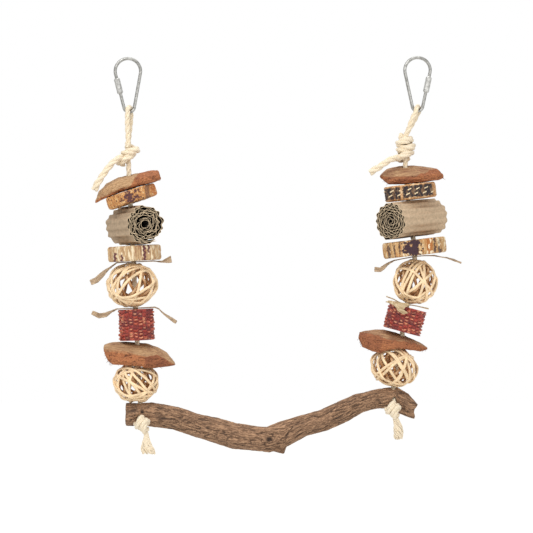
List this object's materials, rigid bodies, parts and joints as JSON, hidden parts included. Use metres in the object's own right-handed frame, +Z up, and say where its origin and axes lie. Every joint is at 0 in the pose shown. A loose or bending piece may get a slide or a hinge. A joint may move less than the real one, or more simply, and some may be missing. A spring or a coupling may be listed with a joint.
{
  "type": "bird swing",
  "caption": "Hanging bird swing: two ropes threaded with husk, slices, rolled board, vine balls and cob carry a natural branch perch.",
  "frame": {"origin": "the point inside the top of the left quick link's bow, where the link hangs on a cage bar", "axes": "+Z up, +X from the left column to the right one along the perch, front towards -Y"},
  "size_m": [0.3726, 0.0705, 0.3972],
  "materials": {
    "link_steel": "zinc-plated wire, matt silver",
    "sleeve_steel": "turned hexagon sleeve, brighter than the wire",
    "sisal_rope": "three-strand natural fibre rope, pale straw",
    "coconut_husk": "fibrous red-brown husk under a smooth tan skin",
    "gold_slice": "golden tan slice with dark maroon blotches",
    "dark_slice": "purple-black slice with cream dashes",
    "cardboard": "single-faced corrugated board, unprinted",
    "vine": "peeled pale vine",
    "corn_cob": "dark red scaled cob",
    "dry_leaf": "thin grey-tan leaf strip",
    "branch": "furrowed grey-brown branch"
  },
  "bodies": {
    "links": {"left_link": "link_steel", "right_link": "link_steel"},
    "left_sleeve": {"left_link_sleeve": "sleeve_steel"},
    "right_sleeve": {"right_link_sleeve": "sleeve_steel"},
    "swing": {"left_rope_eye": "sisal_rope", "left_top_knot": "sisal_rope", "left_rope_tail": "sisal_rope", "left_rope_core": "sisal_rope", "left_stopper_knot": "sisal_rope", "left_frayed_end": "sisal_rope", "right_rope_eye": "sisal_rope", "right_top_knot": "sisal_rope", "right_rope_tail": "sisal_rope", "right_rope_core": "sisal_rope", "right_stopper_knot": "sisal_rope", "right_frayed_end": "sisal_rope", "perch": "branch"},
    "left_husk_upper_piece": {"left_husk_upper": "coconut_husk"},
    "left_slice_upper_piece": {"left_slice_upper": "gold_slice"},
    "left_cardboard_roll_piece": {"left_cardboard_roll": "cardboard"},
    "left_slice_lower_piece": {"left_slice_lower": "gold_slice"},
    "left_leaf_upper_piece": {"left_leaf_upper": "dry_leaf"},
    "left_vine_ball_upper_piece": {"left_vine_ball_upper": "vine"},
    "left_leaf_lower_piece": {"left_leaf_lower": "dry_leaf"},
    "left_cob_slice_piece": {"left_cob_slice": "corn_cob"},
    "left_husk_lower_piece": {"left_husk_lower": "coconut_husk"},
    "left_vine_ball_lower_piece": {"left_vine_ball_lower": "vine"},
    "right_husk_upper_piece": {"right_husk_upper": "coconut_husk"},
    "right_slice_upper_piece": {"right_slice_upper": "dark_slice"},
    "right_cardboard_roll_piece": {"right_cardboard_roll": "cardboard"},
    "right_slice_lower_piece": {"right_slice_lower": "gold_slice"},
    "right_leaf_upper_piece": {"right_leaf_upper": "dry_leaf"},
    "right_vine_ball_upper_piece": {"right_vine_ball_upper": "vine"},
    "right_leaf_lower_piece": {"right_leaf_lower": "dry_leaf"},
    "right_cob_slice_piece": {"right_cob_slice": "corn_cob"},
    "right_husk_lower_piece": {"right_husk_lower": "coconut_husk"},
    "right_vine_ball_lower_piece": {"right_vine_ball_lower": "vine"}
  },
  "joints": [
    {"name": "swing", "type": "hinge", "parent": "links", "child": "swing", "pos_m": [0.00181, 0, -0.05187], "axis": [1, 0, 0.0034], "range_deg": [-40, 40]},
    {"name": "left_sleeve_screw", "type": "slide", "parent": "links", "child": "left_sleeve", "axis": [0.2447, 0, -0.9696], "range_m": [0, 0.0115]},
    {"name": "right_sleeve_screw", "type": "slide", "parent": "links", "child": "right_sleeve", "axis": [-0.2107, 0, -0.9776], "range_m": [0, 0.0115]},
    {"name": "left_husk_upper_turn", "type": "hinge", "parent": "swing", "child": "left_husk_upper_piece", "pos_m": [0.00167, 0, -0.12179], "axis": [-0.3123, 0, 0.95], "continuous": true},
    {"name": "left_slice_upper_turn", "type": "hinge", "parent": "swing", "child": "left_slice_upper_piece", "pos_m": [0.00252, 0, -0.13697], "axis": [-0.3123, 0, 0.95], "continuous": true},
    {"name": "left_cardboard_roll_turn", "type": "hinge", "parent": "swing", "child": "left_cardboard_roll_piece", "pos_m": [0.00409, 0, -0.16512], "axis": [-0.0558, 0, 0.9984], "range_deg": [-45, 10]},
    {"name": "left_slice_lower_turn", "type": "hinge", "parent": "swing", "child": "left_slice_lower_piece", "pos_m": [0.00566, 0, -0.19318], "axis": [-0.0558, 0, 0.9984], "continuous": true},
    {"name": "left_leaf_upper_turn", "type": "hinge", "parent": "swing", "child": "left_leaf_upper_piece", "pos_m": [0.00613, 0, -0.20176], "axis": [-0.0454, 0, 0.999], "continuous": true},
    {"name": "left_vine_ball_upper_turn", "type": "hinge", "parent": "swing", "child": "left_vine_ball_upper_piece", "pos_m": [0.00718, 0, -0.22484], "axis": [-0.0454, 0, 0.999], "continuous": true},
    {"name": "left_leaf_lower_turn", "type": "hinge", "parent": "swing", "child": "left_leaf_lower_piece", "pos_m": [0.00823, 0, -0.24792], "axis": [-0.0454, 0, 0.999], "continuous": true},
    {"name": "left_cob_slice_turn", "type": "hinge", "parent": "swing", "child": "left_cob_slice_piece", "pos_m": [0.00898, 0, -0.2645], "axis": [-0.0454, 0, 0.999], "continuous": true},
    {"name": "left_husk_lower_turn", "type": "hinge", "parent": "swing", "child": "left_husk_lower_piece", "pos_m": [0.01024, 0, -0.29217], "axis": [-0.0454, 0, 0.999], "continuous": true},
    {"name": "left_vine_ball_lower_turn", "type": "hinge", "parent": "swing", "child": "left_vine_ball_lower_piece", "pos_m": [0.01161, 0, -0.32229], "axis": [-0.0454, 0, 0.999], "continuous": true},
    {"name": "right_husk_upper_turn", "type": "hinge", "parent": "swing", "child": "right_husk_upper_piece", "pos_m": [0.27826, 0, -0.11455], "axis": [-0.1149, 0, 0.9934], "continuous": true},
    {"name": "right_slice_upper_turn", "type": "hinge", "parent": "swing", "child": "right_slice_upper_piece", "pos_m": [0.28029, 0, -0.13214], "axis": [-0.1149, 0, 0.9934], "continuous": true},
    {"name": "right_cardboard_roll_turn", "type": "hinge", "parent": "swing", "child": "right_cardboard_roll_piece", "pos_m": [0.28344, 0, -0.1593], "axis": [-0.1149, 0, 0.9934], "continuous": true},
    {"name": "right_slice_lower_turn", "type": "hinge", "parent": "swing", "child": "right_slice_lower_piece", "pos_m": [0.28669, 0, -0.18747], "axis": [-0.1149, 0, 0.9934], "continuous": true},
    {"name": "right_leaf_upper_turn", "type": "hinge", "parent": "swing", "child": "right_leaf_upper_piece", "pos_m": [0.28741, 0, -0.19625], "axis": [0.1599, 0, 0.9871], "range_deg": [-12, 12]},
    {"name": "right_vine_ball_upper_turn", "type": "hinge", "parent": "swing", "child": "right_vine_ball_upper_piece", "pos_m": [0.28341, 0, -0.22093], "axis": [0.1599, 0, 0.9871], "range_deg": [-45, 45]},
    {"name": "right_leaf_lower_turn", "type": "hinge", "parent": "swing", "child": "right_leaf_lower_piece", "pos_m": [0.27964, 0, -0.24422], "axis": [0.1599, 0, 0.9871], "range_deg": [-45, 45]},
    {"name": "right_cob_slice_turn", "type": "hinge", "parent": "swing", "child": "right_cob_slice_piece", "pos_m": [0.27721, 0, -0.25923], "axis": [0.2622, 0, 0.965], "continuous": true},
    {"name": "right_husk_lower_turn", "type": "hinge", "parent": "swing", "child": "right_husk_lower_piece", "pos_m": [0.2737, 0, -0.2809], "axis": [0.1599, 0, 0.9871], "range_deg": [-90, 90]},
    {"name": "right_vine_ball_lower_turn", "type": "hinge", "parent": "swing", "child": "right_vine_ball_lower_piece", "pos_m": [0.26944, 0, -0.30721], "axis": [0.1599, 0, 0.9871], "continuous": true}
  ]
}
